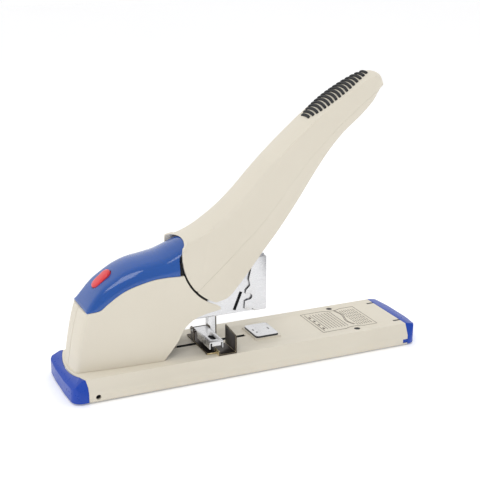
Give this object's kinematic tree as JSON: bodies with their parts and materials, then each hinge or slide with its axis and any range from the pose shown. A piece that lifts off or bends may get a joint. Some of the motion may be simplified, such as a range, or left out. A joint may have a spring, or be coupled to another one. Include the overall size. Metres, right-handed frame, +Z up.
{
  "type": "stapler",
  "caption": "Heavy-duty desk stapler: long lever handle with ribbed grip, swinging head, slide-out magazine, release button and sliding paper guide on a long base.",
  "frame": {"origin": "centre of the base on the surface that the rubber feet stand on", "axes": "+X from the rear cap towards the open end of the base, +Z up, +Y to the left side seen from behind"},
  "size_m": [0.294, 0.07, 0.224],
  "materials": {
    "cream_plastic": "moulded, fine matt grain",
    "blue_plastic": "moulded, gloss",
    "clear_blue_plastic": "moulded, clear, gloss",
    "red_plastic": "moulded, clear, gloss",
    "black_rubber": "moulded, matt",
    "black_plastic": "moulded, matt",
    "nickel_steel": "nickel plated sheet",
    "zinc_steel": "zinc plated sheet",
    "dark_steel": "blackened steel",
    "bright_steel": "turned and ground steel"
  },
  "bodies": {
    "root": {"base_shell": "cream_plastic", "base_plate": "zinc_steel", "bottom_cover": "black_plastic", "rear_cap": "blue_plastic", "front_cap": "blue_plastic", "rubber_feet": "black_rubber", "anvil": "nickel_steel", "anvil_rivets": "bright_steel", "body_shell_right": "cream_plastic", "body_shell_left": "cream_plastic", "body_screws": "zinc_steel", "top_cover": "clear_blue_plastic", "frame_plate_right": "zinc_steel", "frame_plate_left": "zinc_steel", "frame_bolts": "zinc_steel", "frame_nuts": "zinc_steel", "frame_tie": "bright_steel", "button_bridge": "zinc_steel", "hub_axle": "bright_steel", "axle_circlips": "dark_steel", "return_spring": "dark_steel", "head_pivot_pin": "bright_steel", "button_spring": "bright_steel"},
    "handle": {"handle_upper_shell": "cream_plastic", "handle_lower_shell": "cream_plastic", "handle_grip": "black_rubber", "handle_core_right": "zinc_steel", "handle_core_left": "zinc_steel", "handle_tie_bolts": "zinc_steel", "crank_pin": "bright_steel"},
    "link": {"drive_link": "zinc_steel"},
    "head": {"head_plate_right": "nickel_steel", "head_plate_left": "nickel_steel", "head_spacers": "bright_steel", "latch_pin": "bright_steel"},
    "driver": {"driver_blade": "bright_steel", "driver_carrier": "dark_steel"},
    "magazine": {"magazine_rail": "nickel_steel", "magazine_nose": "nickel_steel", "staple_strip": "bright_steel", "pusher_spring": "dark_steel"},
    "pusher": {"staple_pusher": "dark_steel"},
    "button": {"release_button": "red_plastic"},
    "latch": {"magazine_latch": "dark_steel"},
    "guide": {"guide_bracket": "dark_steel", "guide_key": "dark_steel", "lever_pin": "bright_steel"},
    "guide_clamp": {"guide_lever": "nickel_steel"}
  },
  "joints": [
    {"name": "handle_pivot", "type": "hinge", "parent": "root", "child": "handle", "pos_m": [-0.012, 0, 0.0975], "axis": [0, 1, 0], "range_deg": [0, 42], "stiffness_Nm_per_rad": 0.5, "springref_deg": -40.11, "deforming": ["return_spring"]},
    {"name": "link_pivot", "type": "hinge", "parent": "handle", "child": "link", "pos_m": [0.03497, 0, 0.128], "axis": [0, 1, 0], "range_deg": [-31.1, 0]},
    {"name": "head_swing", "type": "hinge", "parent": "root", "child": "head", "pos_m": [-0.108, 0, 0.0509], "axis": [0, 1, 0], "range_deg": [0, 6.2]},
    {"name": "driver_stroke", "type": "slide", "parent": "head", "child": "driver", "axis": [0, 0, -1], "range_m": [0, 0.021]},
    {"name": "magazine_slide", "type": "slide", "parent": "head", "child": "magazine", "axis": [1, 0, 0], "range_m": [0, 0.088]},
    {"name": "pusher_slide", "type": "slide", "parent": "magazine", "child": "pusher", "axis": [-1, 0, 0], "range_m": [0, 0.02], "stiffness_N_per_m": 40, "springref_m": -0.02, "deforming": ["pusher_spring"]},
    {"name": "button_press", "type": "slide", "parent": "root", "child": "button", "axis": [0.6481, 0, -0.7615], "range_m": [0, 0.003], "stiffness_N_per_m": 300, "springref_m": -0.002, "deforming": ["button_spring"]},
    {"name": "latch_turn", "type": "hinge", "parent": "head", "child": "latch", "pos_m": [-0.096, 0, 0.0679], "axis": [0, 1, 0], "range_deg": [-19, 0]},
    {"name": "guide_slide", "type": "slide", "parent": "root", "child": "guide", "axis": [1, 0, 0], "range_m": [-0.024, 0.012]},
    {"name": "clamp_rock", "type": "hinge", "parent": "guide", "child": "guide_clamp", "pos_m": [-0.0303, 0.006, 0.0269], "axis": [1, 0, 0], "range_deg": [0, 5], "stiffness_Nm_per_rad": 0.05, "springref_deg": -8.59}
  ],
  "couplings": [
    {"joint": "link_pivot", "follows": "handle_pivot", "ratio": -0.739},
    {"joint": "head_swing", "follows": "handle_pivot", "ratio": 0.14762},
    {"joint": "driver_stroke", "follows": "handle_pivot", "m_per_rad": 0.028648},
    {"joint": "latch_turn", "follows": "button_press", "rad_per_m": -110}
  ]
}
